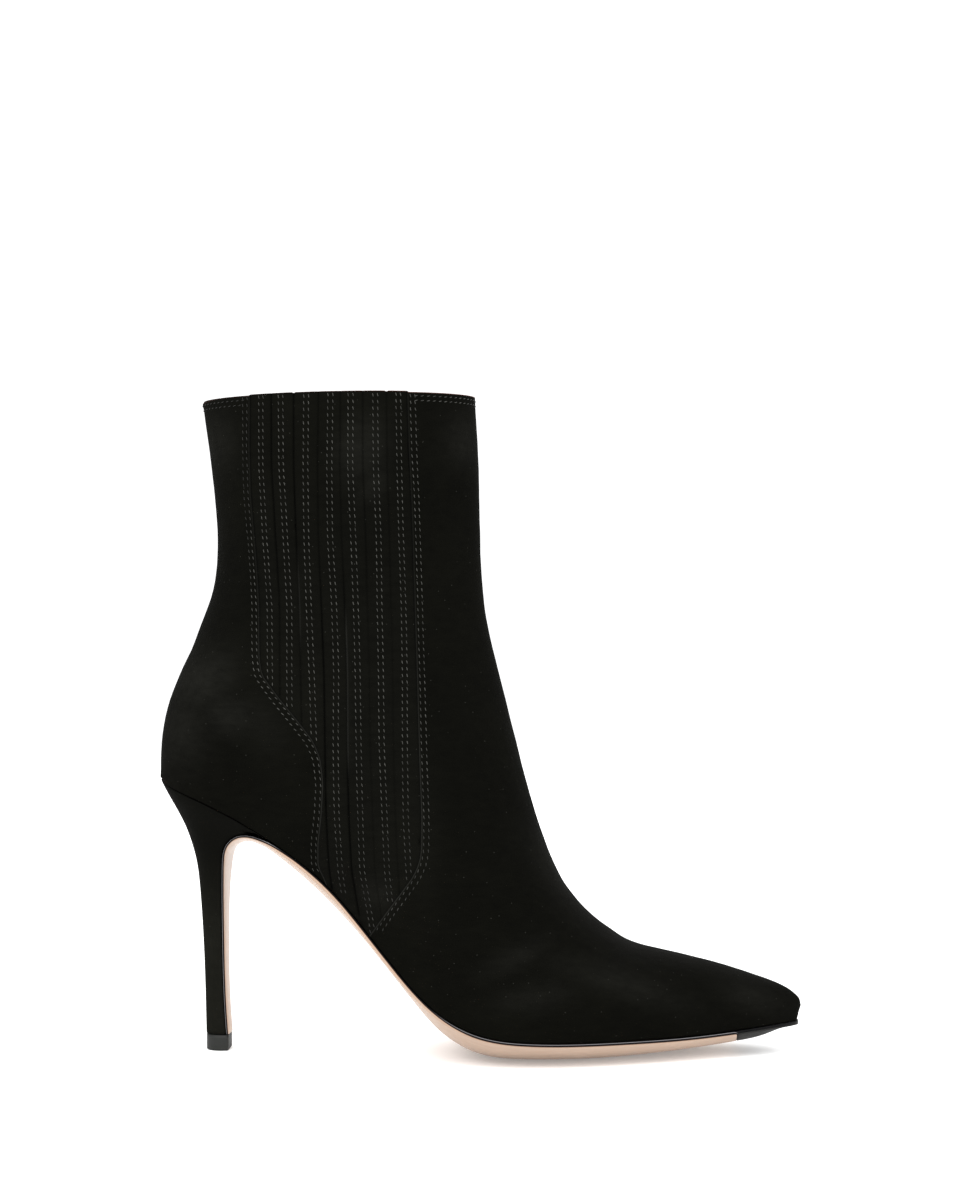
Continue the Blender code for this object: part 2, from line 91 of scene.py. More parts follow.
# %% Shader sums
class Wire:
    """A shader socket that Python's own signs work on."""

    def __init__(self, finish, socket):
        self.finish = finish
        self.socket = socket

    def sum(self, operation, first, second):
        values = {0: first, 1: second}
        return self.finish.node("ShaderNodeMath", {"operation": operation}, values)

    def __add__(self, other):
        return self.sum("ADD", self, other)

    __radd__ = __add__

    def __sub__(self, other):
        return self.sum("SUBTRACT", self, other)

    def __rsub__(self, other):
        return self.sum("SUBTRACT", other, self)

    def __mul__(self, other):
        return self.sum("MULTIPLY", self, other)

    __rmul__ = __mul__


# %% A finish and its nodes
# The Mix node has a set of sockets for every kind of data; these are the colours'
MIX_AMOUNT, MIX_LOW, MIX_HIGH, MIX_RESULT = 0, 6, 7, 2


class Finish:
    """One material: its Principled shader and the nodes that feed it."""

    def __init__(self, name, **fixed):
        self.material = bpy.data.materials.new(name)
        self.material.use_nodes = True
        self.tree = self.material.node_tree
        self.shader = self.tree.nodes["Principled BSDF"]
        for label, value in fixed.items():
            self.shader.inputs[label.replace("_", " ")].default_value = value
        self.place = self.node("ShaderNodeTexCoord", out="Object")

    def feed(self, socket, value):
        if isinstance(value, Wire):
            self.tree.links.new(value.socket, socket)
        else:
            socket.default_value = value

    def node(self, kind, settings=None, sockets=None, out=0):
        made = self.tree.nodes.new(kind)
        for label, value in (settings or {}).items():
            setattr(made, label, value)
        for label, value in (sockets or {}).items():
            self.feed(made.inputs[label], value)
        return Wire(self, made.outputs[out])

    def along(self, axis):
        """The place on the shoe along one axis, in metres."""
        return self.node("ShaderNodeSeparateXYZ", sockets={"Vector": self.place}, out=axis)

    def stretched(self, x, y, z):
        """Places to hang a pattern on, which a small number draws out along its axis."""
        return self.node("ShaderNodeMapping", sockets={"Vector": self.place, "Scale": (x, y, z)})

    def noise(self, size, detail=2.0, rough=0.5, place=None):
        """Soft noise from 0 to 1 with lumps of a size in millimetres."""
        values = {"Vector": place or self.place, "Scale": 1.0 / (size * MM),
                  "Detail": detail, "Roughness": rough}
        return self.node("ShaderNodeTexNoise", sockets=values)

    def cells(self, size, place=None):
        """Distance to the nearest of scattered points, in cell widths."""
        values = {"Vector": place or self.place, "Scale": 1.0 / (size * MM)}
        return self.node("ShaderNodeTexVoronoi", sockets=values, out="Distance")

    def between(self, value, low, high):
        """0 under low, 1 over high and smooth between them."""
        settings = {"interpolation_type": "SMOOTHSTEP"}
        values = {"Value": value, "From Min": low, "From Max": high}
        return self.node("ShaderNodeMapRange", settings, values)

    def layer(self, name):
        """A layer painted on the mesh's points."""
        return self.node("ShaderNodeAttribute", {"attribute_name": name}, out="Fac")

    def mix(self, amount, low, high):
        """A colour that goes from low to high with amount."""
        values = {MIX_AMOUNT: amount, MIX_LOW: low, MIX_HIGH: high}
        return self.node("ShaderNodeMix", {"data_type": "RGBA"}, values, out=MIX_RESULT)

    def bump(self, height, depth, below=None):
        """Relief of a depth in millimetres, over the relief below."""
        values = {"Height": height, "Distance": depth * MM}
        if below is not None:
            values["Normal"] = below
        return self.node("ShaderNodeBump", sockets=values, out="Normal")

    def set(self, label, value):
        self.feed(self.shader.inputs[label], value)


def paint(red, green, blue):
    """A screen colour, 0 to 255, as the light that it stands for."""
    return (*[((c / 255 + 0.055) / 1.055) ** 2.4 if c > 10 else c / 255 / 12.92
              for c in (red, green, blue)], 1.0)


print("a mid grey is", round(paint(128, 128, 128)[0], 3), "of the light")

# %% [markdown]
# ## Black suede
# Suede is the brushed inner side of leather: it throws back almost no mirror light, and its
# nap lies in strokes and patches that go from black to a dusty dark grey. Three sizes of
# noise make it: hand-wide patches, brushed strokes, and the fibres themselves, which also
# lift the surface. Hair could stand for the nap, but at this distance relief looks the same.
# Painted layers on the mesh darken the slits between the strips and pale the rubbed edges. At
# the very top the lining stands a hair's width over the suede and shows as a thin brown line.
# The heel's suede is paler, since it is stretched, and has painted shade near its top, where it
# goes in under the sole.

# %% Black suede
LINT = paint(56, 56, 52)
LINING_LINE = paint(104, 70, 60)
DUSTY_NAP = paint(32, 32, 29)
RUBBED_NAP = paint(48, 48, 45)
SLIT_SHADOW = paint(2, 2, 2)
HEEL_TOP_PAINTED_SHADE = paint(9, 9, 7)
HEEL_SHADE_FADE = (40.0 * MM, 80.0 * MM)      # painted shade darkens the heel between these heights


def suede(name, dark, pale, layered=False):
    """Brushed suede from dark to pale; the layered one reads the upper's painted layers."""
    look = Finish(name, Specular_IOR_Level=0.02)
    patches = look.between(look.noise(42.0, 3.0, 0.55), 0.38, 0.72)
    strokes = look.noise(3.0, 3.0, 0.6, look.stretched(0.45, 1.0, 1.3))
    fibres = look.noise(0.32, 2.0, 0.7)
    lint = 1.0 - look.between(look.cells(3.0), 0.04, 0.075)
    light = 0.22 * patches + 0.45 * strokes + 0.5 * fibres - 0.2
    color = look.mix(light, dark, pale)
    color = look.mix(lint * 0.5, color, LINT)
    if layered:
        below = look.layer("below")
        lip = look.between(below, -0.2, 0.0) - look.between(below, 0.18, 0.32)
        color = look.mix(0.8 * lip, color, LINING_LINE)
        color = look.mix(look.layer("dusty") * (0.3 + 0.9 * strokes), color, DUSTY_NAP)
        color = look.mix(look.layer("rubbed") * 0.8, color, RUBBED_NAP)
        color = look.mix(look.layer("slit"), color, SLIT_SHADOW)
    else:
        # Painted shade: the heel's top is darker, where it goes in under the sole
        color = look.mix(look.between(look.along("Z"), *HEEL_SHADE_FADE), color, HEEL_TOP_PAINTED_SHADE)
    look.set("Base Color", color)
    look.set("Roughness", 0.86 + 0.12 * fibres)
    relief = look.bump(strokes, 0.12)
    look.set("Normal", look.bump(fibres, 0.09, relief))
    return look.material


panel_suede = suede("panel_suede", paint(4, 4, 3), paint(14, 14, 10), layered=True)
heel_suede = suede("heel_suede", paint(14, 14, 11), paint(28, 28, 24))
print("finishes", panel_suede.name, heel_suede.name)

# %% [markdown]
# ## Lining, thread, sole leather, edge paint and rubber
# The lining is a thin smooth leather. The thread is waxed, so it is a little brighter than
# the suede, but painted darker, as shade, in the backmost row and low down.
# The sole is pale vegetable-tanned leather under a thin clear finish. Its edge is inked black,
# with a glossier coat along one line and a painted highlight, a pale grey line in the colour,
# on the same line; the ink bleeds brown below. Two layers on the mesh say where the ink ends,
# so that the line follows the rim however the sole bends.

# %% Lining and thread
THREAD_IN_PAINTED_SHADE = paint(12, 12, 11)
BACKMOST_ROW = (13.8 * MM, 17.5 * MM)   # thread behind these places is painted darker, as shade
LOW_THREAD = (70.0 * MM, 115.0 * MM)    # and below these heights


def lining(name, dark, pale):
    look = Finish(name, Specular_IOR_Level=0.4)
    grain = look.cells(0.9)
    patches = look.noise(14.0, 3.0)
    look.set("Base Color", look.mix(patches, dark, pale))
    look.set("Roughness", 0.5 + 0.2 * patches)
    look.set("Normal", look.bump(grain, 0.06))
    return look.material


lining_leather = lining("lining_leather", paint(66, 40, 32), paint(98, 62, 50))
sock_leather = lining("sock_leather", paint(40, 30, 26), paint(64, 47, 40))


def waxed_thread():
    look = Finish("waxed_thread", Specular_IOR_Level=0.12)
    twist = look.noise(0.35, 2.0)
    pulled = look.between(look.noise(5.0, 2.0), 0.3, 0.7)
    color = look.mix(0.5 * twist + 0.5 * pulled, paint(24, 24, 22), paint(71, 71, 67))
    back = 1.0 - look.between(look.along("X"), *BACKMOST_ROW)
    low = 1.0 - look.between(look.along("Z"), *LOW_THREAD)
    # Painted shade: the thread is darker in the backmost row and low down
    look.set("Base Color", look.mix(0.7 * back + 0.4 * low, color, THREAD_IN_PAINTED_SHADE))
    look.set("Roughness", 0.5 + 0.2 * twist)
    return look.material


thread = waxed_thread()
print("finishes", lining_leather.name, sock_leather.name, thread.name)

# %% Sole leather and rubber
TANNED = (paint(165, 139, 118), paint(179, 157, 139))
STREAKED = paint(148, 118, 98)
IN_THE_PORES = paint(120, 88, 70)
INK = paint(6, 6, 7)
# A painted highlight: the pale grey line along the inked rim
PAINTED_HIGHLIGHT_ON_INK = paint(120, 117, 119)
INK_BLEED = paint(84, 52, 38)


def sole_leather(name, gloss):
    """Pale leather, inked down to where the layer rim passes the layer inked."""
    look = Finish(name, Specular_IOR_Level=gloss, Coat_Roughness=0.2)
    depth = look.layer("rim")
    border = depth - look.layer("inked")
    ink = 1.0 - look.between(border, -0.03, 0.03)
    bleed = look.between(border, -0.12, 0.0) - look.between(border, 0.0, 0.12)
    # Painted highlight: a pale grey line along the ink, which also gets a glossier coat
    gloss_and_painted_highlight = look.between(depth, 0.14, 0.2) - look.between(depth, 0.26, 0.32)
    gloss_and_painted_highlight = gloss_and_painted_highlight * look.between(look.layer("inked"), 0.5, 0.7)
    patches = look.noise(26.0, 4.0, 0.6)
    streaks = look.noise(1.6, 3.0, 0.6, look.stretched(0.12, 1.0, 1.0))
    pores = look.between(look.cells(0.7), 0.05, 0.22)
    color = look.mix(patches, *TANNED)
    color = look.mix(0.35 * streaks, color, STREAKED)
    color = look.mix(0.12 * (1.0 - pores), color, IN_THE_PORES)
    color = look.mix(ink, color, look.mix(gloss_and_painted_highlight, INK, PAINTED_HIGHLIGHT_ON_INK))
    color = look.mix(0.75 * bleed, color, INK_BLEED)
    look.set("Base Color", color)
    look.set("Roughness", 0.42 + 0.2 * streaks)
    look.set("Coat Weight", (0.3 + 0.2 * patches) * (1.0 - 0.9 * ink) + 0.5 * ink * gloss_and_painted_highlight)
    look.set("Normal", look.bump(pores + streaks, 0.04))
    return look.material


def rubber(name, dark, pale):
    look = Finish(name, Specular_IOR_Level=0.15)
    grain = look.noise(0.25, 3.0, 0.6)
    smears = look.noise(4.0, 3.0)
    look.set("Base Color", look.mix(0.5 * grain + 0.5 * smears, dark, pale))
    look.set("Roughness", 0.4 + 0.25 * smears)
    look.set("Normal", look.bump(grain, 0.05))
    return look.material


bottom_leather = sole_leather("sole_leather", 0.35)
rim_leather = sole_leather("rim_leather", 0.05)
pad_rubber = rubber("pad_rubber", paint(18, 18, 17), paint(34, 34, 32))
tip_rubber = rubber("tip_rubber", paint(26, 27, 26), paint(44, 45, 43))
print("finishes", bottom_leather.name, rim_leather.name, pad_rubber.name, tip_rubber.name)

# %% [markdown]
# ## Rounding the CAD pieces
# The CAD solids are faceted, and smooth shading alone would leave their outlines angular. A
# copy of each is welded, its triangles are paired into quads, and its true edges are creased,
# so that a subdivision rounds the faces and keeps the edges.

# %% Rounding the CAD pieces
SAME_PLACE = 0.001 * MM
FLAT_ENOUGH = 0.7       # radians between two triangles that may become a quad
SQUARE_ENOUGH = 0.9     # radians that its corners may be off square
HOLD = 0.9              # how hard a creased edge is held


def weld(node):
    """A copy of a CAD node's mesh, welded and paired into quads."""
    bm = bmesh.new()
    bm.from_mesh(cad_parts[node].data)
    bmesh.ops.remove_doubles(bm, verts=bm.verts, dist=SAME_PLACE)
    bmesh.ops.join_triangles(bm, faces=bm.faces[:], angle_face_threshold=FLAT_ENOUGH,
                             angle_shape_threshold=SQUARE_ENOUGH)
    bm.normal_update()
    return bm


def skins(bm, limit):
    """Groups of faces that meet at less than limit, the widest group first."""
    left = set(bm.faces)
    groups = []
    while left:
        group = [left.pop()]
        for face in group:
            for edge in face.edges:
                if len(edge.link_faces) != 2 or edge.calc_face_angle() > limit:
                    continue
                for other in edge.link_faces:
                    if other in left:
                        left.remove(other)
                        group.append(other)
        groups.append(group)
    return sorted(groups, key=lambda group: -sum(face.calc_area() for face in group))


def crease(bm, limit, hold=HOLD):
    """Holds the edges sharper than limit when the mesh is subdivided."""
    layer = bm.edges.layers.float.new("crease_edge")
    for edge in bm.edges:
        if len(edge.link_faces) == 2 and edge.calc_face_angle() > limit:
            edge[layer] = hold


def rounded(bm, name, level):
    """The bmesh as an object, with its subdivision made real."""
    mesh = bpy.data.meshes.new(name)
    bm.to_mesh(mesh)
    bm.free()
    obj = placed(name, mesh)
    rounding = obj.modifiers.new("rounding", "SUBSURF")
    rounding.levels = level
    rounding.render_levels = level
    view = bpy.context.evaluated_depsgraph_get()
    obj.data = bpy.data.meshes.new_from_object(obj.evaluated_get(view))
    obj.modifiers.clear()
    obj.data.name = name
    return obj


# %% Dressing a piece
SHARP_EDGE = math.radians(50)


def settle(obj, node, slot, *materials):
    """Dresses a piece, lets it stand for its CAD node and ride with the body."""
    for material in materials:
        obj.data.materials.append(material)
    obj.data.shade_smooth()
    obj.data.set_sharp_from_angle(angle=SHARP_EDGE)
    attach(obj, "root")
    if node:
        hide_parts(node)
    triangles = sum(len(face.vertices) - 2 for face in obj.data.polygons)
    print(obj.name, triangles, "triangles")


# %% [markdown]
# ## Lines on the side of the shaft
# The stretch panel runs from the top line down to the arch, between the back panel and the
# front panel. Seven suede strips cover it, each sewn down its middle with a double row.
# Every line is drawn as it is seen from the side: an x for each height, in millimetres. The
# lines could be curve objects, but as functions they also say how far a place lies from them.

# %% A line on the side of the shaft
LINE_STEP = 0.5         # of height
PAST_THE_ENDS = 4.0     # how far a line goes on past its first and last points
OVER_COLLAR = 245.0     # a height just over the collar


class SideLine:
    """A line on the shoe's side, as x for every height z, in millimetres."""

    def __init__(self, points, blur=4.0):
        heights, places = zip(*sorted(points))
        reach = int(blur / LINE_STEP)
        self.z = np.arange(heights[0] - PAST_THE_ENDS, heights[-1] + PAST_THE_ENDS, LINE_STEP)
        raw = np.pad(np.interp(self.z, heights, places), reach, mode="edge")
        weight = np.hanning(2 * reach + 3)[1:-1]
        self.x = np.convolve(raw, weight / weight.sum(), "valid")
        self.slope = np.gradient(self.x, self.z)

    def at(self, z):
        return np.interp(z, self.z, self.x)

    def lean(self, z):
        """How much wider a level cut across the line is than a square one."""
        return np.hypot(1.0, np.interp(z, self.z, self.slope))

    def away(self, x, z):
        """Distance in front of the line, square to it."""
        return (x - self.at(z)) / self.lean(z)

    def beside(self, distance):
        """The line at a distance in front of this one."""
        moved = [(z, x + distance * self.lean(z)) for z, x in zip(self.z, self.x)]
        return SideLine(moved, 1.0)


def halfway(one, other):
    """The line in the middle between two others, up to just over the collar."""
    low = max(one.z[0], other.z[0])
    heights = np.arange(low, OVER_COLLAR, 2.0)
    return SideLine([(z, (one.at(z) + other.at(z)) / 2) for z in heights], 2.0)


# %% The rows, slits, seams and panel edges
# The middle of each strip's double row as x at these heights, and how low the row and the
# slit in front of it reach, where the panel's own edge doesn't end them before
ROW_HEIGHTS = (244, 215, 190, 165, 140, 115, 90, 70, 50)
ROWS = (
    # x at each height, end of the row, end of the slit, its depth high up and low down
    ((19.7, 19.5, 20.9, 23.1, 23.4, 23.6, 23.6, 23.6, 23.6), 136.0, 132.0, 0.7, 0.4),
    ((27.1, 27.2, 28.7, 30.4, 30.4, 30.6, 30.6, 30.6, 30.6), 127.0, 120.0, 0.7, 0.4),
    ((36.6, 36.2, 36.5, 37.4, 38.5, 39.4, 39.6, 40.0, 42.0), 115.0, 62.0, 0.4, 0.8),
    ((45.4, 44.9, 45.1, 46.5, 47.3, 47.2, 47.6, 48.7, 51.2), 61.0, 53.0, 0.35, 0.8),
    ((52.6, 52.4, 53.4, 54.2, 55.0, 55.5, 56.2, 56.8, 60.2), 47.5, 50.0, 0.4, 0.2),
    ((61.3, 61.5, 62.4, 62.6, 63.3, 63.8, 65.0, 65.9, 68.0), 58.0, 58.0, 0.3, 0.2),
    ((69.4, 69.8, 70.3, 71.1, 71.8, 72.1, 72.6, 73.7, 75.0), 66.0, 0.0, 0.0, 0.0),
)
BACK_SEAM = (
    # z, x
    (244, 13.6), (222, 13.2), (205, 13.6), (192, 14.8), (178, 16.1), (165, 17.3), (147, 17.7),
    (140, 18.6), (132, 24.4), (124, 31.0), (116, 37.4), (110, 40.0), (101, 41.0), (90, 40.3),
    (80, 39.0), (71, 38.8), (64, 42.0),
)
FRONT_SEAM = (
    # z, x
    (244, 74.4), (222, 75.0), (203, 75.9), (180, 76.5), (158, 77.2), (137, 78.1), (110, 79.1),
    (90, 80.0), (78, 80.0), (73, 79.2), (67.8, 76.9), (62.6, 73.1), (57.5, 69.3), (52.2, 65.4),
    (46.9, 61.6), (42, 58.0),
)
PAIR = 0.9              # from the middle of a double row to each of its lines
SEAM_TO_EDGE = 1.75     # from a panel's double row to its cut edge

rows = [SideLine(list(zip(ROW_HEIGHTS, row[0]))) for row in ROWS]
row_ends = [row[1] for row in ROWS]
slit_ends = [row[2] for row in ROWS]
slit_depths = [row[3:] for row in ROWS]
slits = [halfway(one, other) for one, other in zip(rows, rows[1:])]
back_seam = SideLine(BACK_SEAM, 3.0)
front_seam = SideLine(FRONT_SEAM, 3.0)
back_edge = back_seam.beside(SEAM_TO_EDGE)
front_edge = front_seam.beside(-SEAM_TO_EDGE)
print(len(rows), "strips,", len(slits), "slits")

# %% [markdown]
# ## The upper
# The upper starts as the rounded CAD copy. Extra edge loops are cut along every slit, seam
# and panel edge: the mesh is sheared until the line is straight, bisected by flat planes,
# and sheared back. Later moves can then make crisp troughs, where an even subdivision would
# need a mesh many times as fine all over the shoe.

# %% The upper, rounded
OUTSIDE, INSIDE, RIM = 0, 1, 2
UPPER_EDGE = math.radians(33)   # the upper's faces meet at more than this on its true edges

bm = weld("upper")
groups = skins(bm, UPPER_EDGE)
for face in bm.faces:
    face.material_index = RIM
for face in groups[0]:
    face.material_index = OUTSIDE
for face in groups[1]:
    face.material_index = INSIDE
crease(bm, UPPER_EDGE)
print("skins of the upper", [len(group) for group in groups[:6]])
upper = rounded(bm, "sewn_upper", 2)

# %% Edge loops along the lines
SPARE = 3.0             # how far past a line's ends and sides its cuts may reach
CUT_SNAP = 0.002 * MM
BACK_LOW = 60.0         # the lowest height of the back panel's edge
FRONT_LOW = 40.0        # and of the front panel's
ROW_CUTS = (-1.7, -PAIR, 0.0, PAIR, 1.7)
SLIT_CUTS = (-0.6, -0.22, 0.0, 0.22, 0.6)
SEAM_CUTS = (-PAIR, 0.0, PAIR)
EDGE_CUTS = (-0.5, -0.1, 0.15, 0.6)


def points_of(geometry):
    return [part for part in geometry if isinstance(part, bmesh.types.BMVert)]


def cut_along(bm, line, distances, lowest, side):
    """Adds an edge loop at each distance from a line, on one side of the shoe."""
    reach = max(abs(d) for d in distances) + SPARE
    band = []
    for face in bm.faces:
        if face.material_index != OUTSIDE:
            continue
        x, y, z = face.calc_center_median() / MM
        if y * side > 0 and z > lowest and abs(line.away(x, z)) < reach:
            band.append(face)
    geometry = set(band)
    for face in band:
        geometry.update(face.verts)
        geometry.update(face.edges)
    for vert in points_of(geometry):
        vert.co.x = line.away(vert.co.x / MM, vert.co.z / MM) * MM
    for distance in distances:
        cut = bmesh.ops.bisect_plane(bm, geom=list(geometry), dist=CUT_SNAP,
                                     plane_co=(distance * MM, 0, 0), plane_no=(1, 0, 0))
        geometry = set(cut["geom"])
    for vert in points_of(geometry):
        z = vert.co.z / MM
        vert.co.x = (line.at(z) + vert.co.x / MM * line.lean(z)) * MM


bm = bmesh.new()
bm.from_mesh(upper.data)
for side in (-1, 1):
    for line, end in zip(rows, row_ends):
        cut_along(bm, line, ROW_CUTS, end - SPARE, side)
    for line, end in zip(slits, slit_ends):
        cut_along(bm, line, SLIT_CUTS, end - SPARE, side)
    cut_along(bm, back_seam, SEAM_CUTS, BACK_LOW, side)
    cut_along(bm, front_seam, SEAM_CUTS, FRONT_LOW, side)
    cut_along(bm, back_edge, EDGE_CUTS, BACK_LOW, side)
    cut_along(bm, front_edge, [-d for d in reversed(EDGE_CUTS)], FRONT_LOW, side)
bmesh.ops.triangulate(bm, faces=[face for face in bm.faces if len(face.verts) > 4])
bm.to_mesh(upper.data)
bm.free()
print("upper with its cuts", len(upper.data.polygons), "faces")

# %% [markdown]
# ## Relief
# Every form is a soft trough or ridge in the shoe's own millimetres. The stretch panel lies a
# little under the panels on both sides of it, its strips are softly domed, the slits are
# narrow troughs, and each line of thread draws the suede in. Wear adds a few broad creases
# where the ankle bends and where the hand has pressed the suede. Sculpting by hand would do
# the same, but a sum of bells and ramps can be read, and changed one number at a time.

# %% Reading the outer skin
FLATTEST_VIEW = 0.25    # the least share of a normal that points sideways

mesh = upper.data
count = len(mesh.vertices)
places = np.empty(count * 3)
mesh.vertices.foreach_get("co", places)
places = places.reshape(-1, 3) / MM
outward = np.zeros((count, 3))
for face in mesh.polygons:
    if face.material_index == OUTSIDE:
        outward[list(face.vertices)] += np.array(face.normal) * face.area
length = np.linalg.norm(outward, axis=1)
skin = length > 0
outward[skin] /= length[skin, None]
x, y, z = places[skin].T
facing = np.clip(np.abs(outward[skin, 1]), FLATTEST_VIEW, 1.0)
# How much longer a level step is on the turned surface than it looks from the side
spread = np.hypot(outward[skin, 0], outward[skin, 1]) / facing
print("outer skin", skin.sum(), "of", count, "points")


def bell(distance, width):
    """1 at no distance, fading softly on both sides."""
    return np.exp(-(distance / width) ** 2)


def ramp(value, low, high):
    """0 under low, 1 over high and smooth between them."""
    t = np.clip((value - low) / (high - low), 0.0, 1.0)
    return t * t * (3.0 - 2.0 * t)


def apart(line):
    """Distance of each point in front of a line, along the surface."""
    return line.away(x, z) * spread


# %% The panel and its domed strips
PANEL_SINKS = 0.45
STRIP_RISES = 0.32
EDGE_STEP = (-0.1, 0.15)    # the panel goes down between these distances from its edge
COLLAR_BACK_X = -6.1
COLLAR_BACK_Z = 241.1
COLLAR_LENGTH = 102.3
COLLAR_RISE = 1.7       # from its back to its front

past_back = apart(back_edge)
past_front = apart(front_edge)
in_panel = ramp(past_back, *EDGE_STEP) * ramp(-past_front, *EDGE_STEP)
in_panel *= (z > FRONT_LOW)
collar_z = COLLAR_BACK_Z + (x - COLLAR_BACK_X) / COLLAR_LENGTH * COLLAR_RISE
below_top = collar_z - z

lines = [back_edge, *slits, front_edge]
relief = -PANEL_SINKS * in_panel
for one, other in zip(lines, lines[1:]):
    across = (x - one.at(z)) / np.maximum(other.at(z) - one.at(z), 1.0)
    inside = (across > 0.0) & (across < 1.0)
    dome = np.where(inside, 1.0 - (2.0 * across - 1.0) ** 4, 0.0)
    relief += STRIP_RISES * dome * in_panel
print("in the panels", (in_panel > 0.5).sum(), "points")

# %% Slits, seams and panel edges
SLIT_DEPTH = 0.6
SLIT_WIDTH = 0.3
SLIT_SHADE_WIDTH = 0.26
SEAM_DEPTH = 0.16
SEAM_WIDTH = 0.45
HIGH_UP = (150.0, 190.0)    # a slit goes from its low depth to its high one between these
EDGE_SHADE, SHADE_INSIDE, SHADE_WIDTH = 0.8, 0.25, 0.22     # the shadow inside a panel edge
EDGE_WORN = ((100.0, 180.0), (0.5, 0.15))                   # how pale the edge is at two heights
WORN_OUTSIDE, WORN_WIDTH = 0.12, 0.2

slit_paint = np.zeros(len(x))
rubbed = np.zeros(len(x))
for line, end, (high, low) in zip(slits, slit_ends, slit_depths):
    gap = apart(line)
    open_here = in_panel * ramp(z, end, end + 1.0) * (low + (high - low) * ramp(z, *HIGH_UP))
    relief -= SLIT_DEPTH * bell(gap, SLIT_WIDTH) * open_here
    slit_paint = np.maximum(slit_paint, bell(gap, SLIT_SHADE_WIDTH) * open_here)
for line, end in zip(rows, row_ends):
    sewn = ramp(z, end - 1.0, end + 1.0) * in_panel
    for pair in (-PAIR, PAIR):
        relief -= SEAM_DEPTH * bell(apart(line) - pair, SEAM_WIDTH) * sewn
for line, lowest in ((back_seam, BACK_LOW), (front_seam, FRONT_LOW)):
    for pair in (-PAIR, PAIR):
        relief -= SEAM_DEPTH * bell(apart(line) - pair, SEAM_WIDTH) * (z > lowest)
for gap, lowest in ((past_back, BACK_LOW), (-past_front, FRONT_LOW)):
    shade = EDGE_SHADE * bell(gap - SHADE_INSIDE, SHADE_WIDTH) * (z > lowest)
    slit_paint = np.maximum(slit_paint, shade)
    worn = np.interp(z, *EDGE_WORN) * (z > lowest)
    rubbed = np.maximum(rubbed, worn * bell(gap + WORN_OUTSIDE, WORN_WIDTH))
print("the deepest slit lies", round(-relief.min(), 2), "mm under the panels")

# %% The fold of the top line
# Two lines of thread run round under the fold, which stands a little proud of the rest
TOP_LINES = (1.5, 3.2)
TOP_LINE_DEPTH = 0.14
TOP_LINE_WIDTH = 0.5
FOLD_RISES = 0.1
FOLD_STEP = (-4.0, -3.4)    # the fold ends between these heights over the top line

plain = 1.0 - in_panel
for depth in TOP_LINES:
    relief -= TOP_LINE_DEPTH * bell(below_top - depth, TOP_LINE_WIDTH) * plain
relief += FOLD_RISES * ramp(-below_top, *FOLD_STEP) * plain
print("on the fold", ((-below_top > FOLD_STEP[0]) & (plain > 0.5)).sum(), "points")

# %% Creases and dents
# x, z, length, width, turn in degrees from level, depth (a ridge is negative), side
CREASES = (
    (104.0, 92.0, 15.0, 5.0, 62.0, 0.35, 0),
    (96.0, 80.0, 18.0, 6.0, 40.0, 0.3, 0),
    (120.0, 58.0, 14.0, 5.0, 30.0, 0.25, 0),
    (118.0, 40.0, 26.0, 9.0, -38.0, 0.35, 0),
    (132.0, 32.0, 22.0, 6.0, -30.0, -0.2, 0),
    (20.0, 96.0, 18.0, 8.0, -20.0, 0.5, -1),
    (4.0, 118.0, 16.0, 9.0, 25.0, -0.3, 0),
    (-6.0, 150.0, 9.0, 5.0, 20.0, 0.3, 0),
    (4.0, 172.0, 14.0, 6.0, 8.0, 0.3, 0),
    (88.0, 150.0, 16.0, 8.0, 75.0, 0.3, 0),
    (52.0, 172.0, 26.0, 12.0, 5.0, 0.35, 0),
    (160.0, 26.0, 24.0, 8.0, -12.0, 0.25, 0),
)
WAVE_DEPTH = 0.1
WAVES = ((9.0, 1.0), (4.0, 0.5))    # the length of each wave and its share


def patch(cx, cz, long, wide, turn):
    """1 in the middle of an oval on the shoe's side, fading softly along and across it."""
    angle = math.radians(turn)
    along = (x - cx) * math.cos(angle) + (z - cz) * math.sin(angle)
    square = (z - cz) * math.cos(angle) - (x - cx) * math.sin(angle)
    return bell(along, long) * bell(square, wide)


def wave(place):
    """The soft unevenness of hide over a last."""
    return sum(share * noise.noise(place / long) for long, share in WAVES)


for *oval, depth, side in CREASES:
    here = 1.0 if side == 0 else ramp(y * side, 0.0, 4.0)
    relief -= depth * patch(*oval) * here

relief += WAVE_DEPTH * np.array([wave(Vector(place)) for place in np.column_stack((x, y, z))])
print(len(CREASES), "creases")

# %% Where the nap is rubbed pale
# x, z, length, width, turn, strength
DUST = (
    (-2.0, 138.0, 14.0, 9.0, 30.0, 0.5), (8.0, 126.0, 10.0, 7.0, -20.0, 0.4),
    (-10.0, 120.0, 10.0, 14.0, 0.0, 0.35), (56.0, 222.0, 12.0, 9.0, 70.0, 0.4),
    (60.0, 208.0, 8.0, 5.0, 60.0, 0.3), (124.0, 72.0, 16.0, 6.0, -60.0, 0.2),
    (112.0, 40.0, 12.0, 4.0, 25.0, 0.25), (118.0, 26.0, 14.0, 5.0, 10.0, 0.25),
    (150.0, 30.0, 24.0, 5.0, -20.0, 0.3), (92.0, 226.0, 6.0, 9.0, 0.0, 0.3),
    (2.0, 226.0, 8.0, 10.0, 0.0, 0.3), (198.0, 22.0, 12.0, 5.0, -20.0, 0.3),
    (62.0, 62.0, 8.0, 8.0, 0.0, 0.3), (20.0, 124.0, 13.0, 8.0, -50.0, 0.2),
    (79.0, 84.0, 6.0, 22.0, 0.0, 0.1),
)
STRIPS_DUSTY = ((120.0, 220.0), (0.1, 0.03))    # how dusty the strips are at two heights

dusty = np.interp(z, *STRIPS_DUSTY) * in_panel
for *oval, strength in DUST:
    dusty = np.maximum(dusty, strength * patch(*oval))

